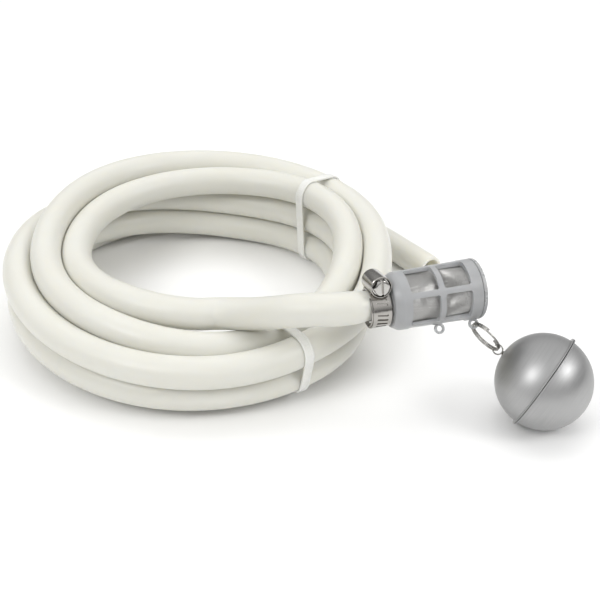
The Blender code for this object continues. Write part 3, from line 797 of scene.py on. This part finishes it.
def window_cutters():
    """Blocks with rounded corners, one for each window of the cage."""
    bm = bmesh.new()
    span = 360.0 / RIBS - RIB_WIDTH
    corner = 1.2 * MM
    for x0, x1 in WINDOWS:
        for rib in range(RIBS):
            start = RIB_ANGLE + RIB_WIDTH / 2 + rib * 360.0 / RIBS
            wide = math.radians(span) * CAGE_R0
            outline = []
            for cx, cw, turn in ((x1 - corner, wide - corner, 0), (x0 + corner, wide - corner, 90),
                                 (x0 + corner, corner, 180), (x1 - corner, corner, 270)):
                outline += arc((cx, cw), corner, turn, turn + 90, 4)
            dense = []
            for (ax, aw), (bx, bw) in zip(outline, outline[1:] + outline[:1]):
                pieces = max(1, round(abs(bw - aw) / (1.0 * MM)))
                dense += [(ax + (bx - ax) * k / pieces, aw + (bw - aw) * k / pieces) for k in range(pieces)]
            low, high = [], []
            for x, w in dense:
                angle = start + math.degrees(w / CAGE_R0)
                low.append(bm.verts.new(around(angle, CAGE_BORE - 1.5 * MM, x)))
                high.append(bm.verts.new(around(angle, CAGE_R1 + 1.5 * MM, x)))
            count = len(low)
            for i in range(count):
                j = (i + 1) % count
                bm.faces.new((low[i], low[j], high[j], high[i]))
            for loop in (low, high):
                centre = bm.verts.new(sum((v.co for v in loop), Vector()) / count)
                for i in range(count):
                    bm.faces.new((loop[i], loop[(i + 1) % count], centre))
    return finish_mesh("windows", bm, PLASTIC, INTAKE)


def strainer_body():
    wall = 1.8 * MM
    outline = [(CAGE_X0, BARB_R), (CAGE_X0, 11.6 * MM)]
    outline += [(CAGE_X0 + 0.35 * MM, 12.05 * MM), (-0.5 * MM, CAGE_R0 - 0.25 * MM), (0.3 * MM, CAGE_R0)]
    outline += [(x * MM, cage_radius(x * MM)) for x in (6, 12, 18, 24, 30, 36)]
    outline += [(CAGE_X1 - 0.3 * MM, CAGE_R1), (CAGE_X1, CAGE_R1 - 0.2 * MM), (CAGE_X1, CAGE_BORE),
                (CAGE_X0 + wall, CAGE_BORE), (CAGE_X0 + wall, BARB_BORE), (BARB_X, BARB_BORE),
                (BARB_X, BARB_R - 0.9 * MM)]
    for x in (-17.5 * MM, -13.0 * MM, -8.5 * MM):
        outline += [(x, BARB_R), (x + 0.3 * MM, BARB_R - 0.6 * MM)]
    bm = bmesh.new()
    turned(bm, outline, 120)
    body = finish_mesh("cage", bm, PLASTIC, INTAKE)
    boolean(body, window_cutters())
    body.data.set_sharp_from_angle(angle=math.radians(30))
    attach(body, ROOT)
    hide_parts("strainer_body")

    for i, x in enumerate(LUG_X):
        bm = bmesh.new()
        mid, round_r = (LUG_R + LUG_HOLE_R) / 2, (LUG_R - LUG_HOLE_R) / 2 * LUG_FULLER
        flat = LUG_THICK / 2 - round_r
        outline = []
        for side, start in ((flat, 0), (-flat, 90), (-flat, 180), (flat, 270)):
            outline += arc((side, mid), round_r, start, start + 90, 5)
        turned(bm, outline, 40)
        local = INTAKE.to_3x3().inverted() @ HINGE
        centre = around(LUG_ANGLE, cage_radius(x) + LUG_UP, x)
        lug = finish_mesh("lug_%d" % i, bm, PLASTIC, INTAKE @ basis(centre, local, Vector((1, 0, 0))))
        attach(lug, ROOT)


def strainer_gauze():
    """Two sets of wires wound at 45 degrees, over and under each other."""
    radius, wire_r, wires = CAGE_BORE - 0.45 * MM, GAUZE_WIRE, GAUZE_WIRES
    crossing = 2 * math.pi * radius / wires / 2
    count = int((GAUZE_X1 - GAUZE_X0) / crossing)
    bm = bmesh.new()
    for hand in (1, -1):
        for k in range(wires):
            points = []
            for i in range(count + 1):
                x = GAUZE_X0 + i * crossing
                angle = 2 * math.pi * k / wires + hand * i * crossing / radius
                weave = wire_r * (1 if (i + (k if hand > 0 else k + 1)) % 2 else -1)
                r = radius + weave * hand
                points.append(Vector((x, r * math.cos(angle), r * math.sin(angle))))
            wire(bm, points, wire_r, 4, points[0] - Vector((points[0].x, 0, 0)))
    gauze = finish_mesh("gauze", bm, GAUZE_STEEL, INTAKE, 60.0)
    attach(gauze, ROOT)
    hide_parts("strainer_gauze")


def strainer_cap():
    """The round cap, with a rolled edge, a sunk face and the spigot that goes into the cage."""
    face, edge = CAGE_X1 + GAP, 0.9 * MM
    spigot_out, spigot_in = CAGE_BORE - GAP, CAGE_BORE - 1.5 * MM
    outline = [(SPIGOT_X0, spigot_in), (SPIGOT_X0, spigot_out - 0.2 * MM),
               (SPIGOT_X0 + 0.3 * MM, spigot_out), (face, spigot_out), (face, CAGE_R1 - 0.2 * MM),
               (face + 0.2 * MM, CAGE_R1)]
    outline += arc((CAP_X1 - edge, CAGE_R1 - edge), edge, 90, 0, 6)
    outline += [(CAP_X1, 11.4 * MM), (CAP_X1 - 0.35 * MM, 11.1 * MM), (CAP_X1 - 0.35 * MM, 0.0), (face, 0.0),
                (face, spigot_in)]
    bm = bmesh.new()
    turned(bm, outline, 120)
    cap = finish_mesh("cap", bm, PLASTIC, INTAKE, 30.0)
    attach(cap, CAP)
    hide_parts("strainer_cap")


# ---------------------------------------------------------------- ring and float

def split_ring():
    reach = EYE_HOLE - LUG_HOLE
    radius, along = (reach.length - RING_SLACK) / 2, reach.normalized()
    normal = along.cross(HINGE).normalized()
    points = []
    count = 130
    for i in range(count + 1):
        turns = RING_TURNS * i / count
        angle = 2 * math.pi * turns + math.radians(110.0)
        spoke = math.cos(angle) * along + math.sin(angle) * HINGE
        points.append(LUG_HOLE + reach / 2 + radius * spoke + RING_PITCH * (turns - RING_TURNS / 2) * normal)
    bm = bmesh.new()
    wire(bm, points, RING_WIRE, 12, normal)
    ring = finish_mesh("ring", bm, WIRE_STEEL)
    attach(ring, RING)
    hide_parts("split_ring")


def brush_direction(mesh):
    """A UV map whose U runs round the mesh's own X axis."""
    own, layer = mesh.attributes["own"].data, mesh.uv_layers.new(name="brush").data
    for face in mesh.polygons:
        turns = [math.atan2(own[i].vector.y, own[i].vector.z) / (2 * math.pi) for i in face.vertices]
        wraps = max(turns) - min(turns) > 0.5
        for loop, vertex, turn in zip(face.loop_indices, face.vertices, turns):
            layer[loop].uv = (turn + 1.0 if wraps and turn < 0 else turn, own[vertex].vector.x / FLOAT_R)


def float_shell(name, node, side):
    """A thin dome with the rolled lip of the seam."""
    seam, lip = 0.12 * MM, 0.15 * MM + FLANGE_THICK
    inner_r = FLOAT_R - SHELL_THICK
    steps = 40
    low = math.asin(lip / FLOAT_R)
    angles = [math.pi / 2 + (low - math.pi / 2) * i / steps for i in range(steps + 1)]
    outline = [(side * FLOAT_R * math.sin(a), FLOAT_R * math.cos(a)) for a in angles]
    outline[0] = (outline[0][0], 0.0)
    round_r = (lip - seam) / 2
    rim = arc((side * (lip + seam) / 2, FLANGE_R - round_r), round_r, 0, 180, 8)
    outline += rim if side > 0 else rim[::-1]
    inner_low = math.asin(seam / inner_r)
    angles = [inner_low + (math.pi / 2 - inner_low) * i / 16 for i in range(17)]
    back = [(side * inner_r * math.sin(a), inner_r * math.cos(a)) for a in angles]
    back[-1] = (back[-1][0], 0.0)
    bm = bmesh.new()
    turned(bm, outline + back, 128)
    shell = finish_mesh(name, bm, FLOAT_STEEL, basis(FLOAT_CENTRE, POLE, UP), 30.0)
    brush_direction(shell.data)
    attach(shell, FLOAT)
    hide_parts(node)


def float_eye():
    """A loop of thin wire whose two ends run down on to the float."""
    across = (HINGE - POLE * HINGE.dot(POLE)).normalized()
    side = POLE.cross(across).normalized()
    points = []
    for i in range(41):
        angle = math.radians(-250.0 + 320.0 * i / 40)
        spread = (i / 40 - 0.5) * 0.9 * MM
        points.append(EYE_HOLE + EYE_R * (math.cos(angle) * side + math.sin(angle) * POLE) + across * spread)
    bm = bmesh.new()
    wire(bm, points, EYE_WIRE, 10, across)
    foot = [(0.0, 0.0), (0.0, 1.3 * MM), (0.25 * MM, 1.15 * MM), (0.5 * MM, 0.6 * MM), (0.55 * MM, 0.0)]
    turned(bm, foot, 24, basis(FLOAT_CENTRE + POLE * (FLOAT_R - 0.05 * MM), POLE, UP))
    eye = finish_mesh("eye", bm, WIRE_STEEL)
    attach(eye, FLOAT)
    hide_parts("float_eye")


# ---------------------------------------------------------------- studio

def studio():
    floor_mesh = bpy.data.meshes.new("floor")
    far = 6.0
    corners = [(-far, -far, 0), (far, -far, 0), (far, far, 0), (-far, far, 0)]
    floor_mesh.from_pydata(corners, [], [(0, 1, 2, 3)])
    floor = bpy.data.objects.new("floor", floor_mesh)
    bpy.context.scene.collection.objects.link(floor)
    paint = Paint("pale floor", (0.93, 0.93, 0.925), 0.7)
    paint.colors(paint.noise(3.0, 2.0), (0.3, (0.925, 0.925, 0.92)), (0.7, (0.935, 0.935, 0.93)))
    floor_mesh.materials.append(paint.mat)

    world = bpy.data.worlds.new("studio")
    world.use_nodes = True
    sky = world.node_tree.nodes["Background"]
    sky.inputs["Strength"].default_value = 0.88
    nodes, links = world.node_tree.nodes, world.node_tree.links
    split, ramp = nodes.new("ShaderNodeSeparateXYZ"), nodes.new("ShaderNodeValToRGB")
    links.new(nodes.new("ShaderNodeTexCoord").outputs["Generated"], split.inputs["Vector"])
    links.new(split.outputs["Z"], ramp.inputs["Fac"])
    links.new(ramp.outputs["Color"], sky.inputs["Color"])
    dark, bright = ramp.color_ramp.elements
    dark.position, dark.color = 0.12, (0.30, 0.30, 0.30, 1.0)
    bright.position, bright.color = 0.55, (1.0, 1.0, 1.0, 1.0)
    bpy.context.scene.world = world

    target = Vector((-0.08, 0.05, 0.03))
    for name, at, size, power, mirrored in (
            ("left softbox", (-0.95, -0.75, 1.05), (0.6, 0.5), 6.0, True),
            ("right softbox", (1.0, -0.45, 1.0), (0.5, 0.5), 5.4, True),
            ("overhead", (-0.1, 0.5, 1.3), (1.4, 0.8), 5.0, False)):
        lamp = bpy.data.lights.new(name, "AREA")
        lamp.shape, lamp.size, lamp.size_y, lamp.energy = "RECTANGLE", *size, power
        holder = bpy.data.objects.new(name, lamp)
        bpy.context.scene.collection.objects.link(holder)
        holder.location = at
        holder.rotation_euler = (target - Vector(at)).to_track_quat("-Z", "Y").to_euler()
        holder.visible_glossy = mirrored


def camera():
    lens = bpy.data.cameras.new("camera")
    lens.lens, lens.sensor_width = LENS, 36.0
    lens.clip_start, lens.clip_end = 0.01, 20.0
    holder = bpy.data.objects.new("camera", lens)
    bpy.context.scene.collection.objects.link(holder)
    holder.location = CAMERA_AT
    holder.rotation_euler = (math.radians(90.0 - CAMERA_DOWN), 0.0, 0.0)
    bpy.context.scene.camera = holder


camera()
studio()
hose_piece, hose_line, hose_length = hose()
ties = cable_tie("tie_front", "cable_tie_front", hose_line, TIE_FRONT, 0.045, (0.062, 0.024))
ties += cable_tie("tie_rear", "cable_tie_rear", hose_line, TIE_REAR, 0.06, (0.112, 0.024), 0.110)
clamp_band()
clamp_housing()
clamp_screw()
strainer_body()
strainer_gauze()
strainer_cap()
split_ring()
float_shell("shell_upper", "float_shell_upper", 1.0)
float_shell("shell_lower", "float_shell_lower", -1.0)
float_eye()

bpy.context.scene.view_settings.view_transform = "Standard"
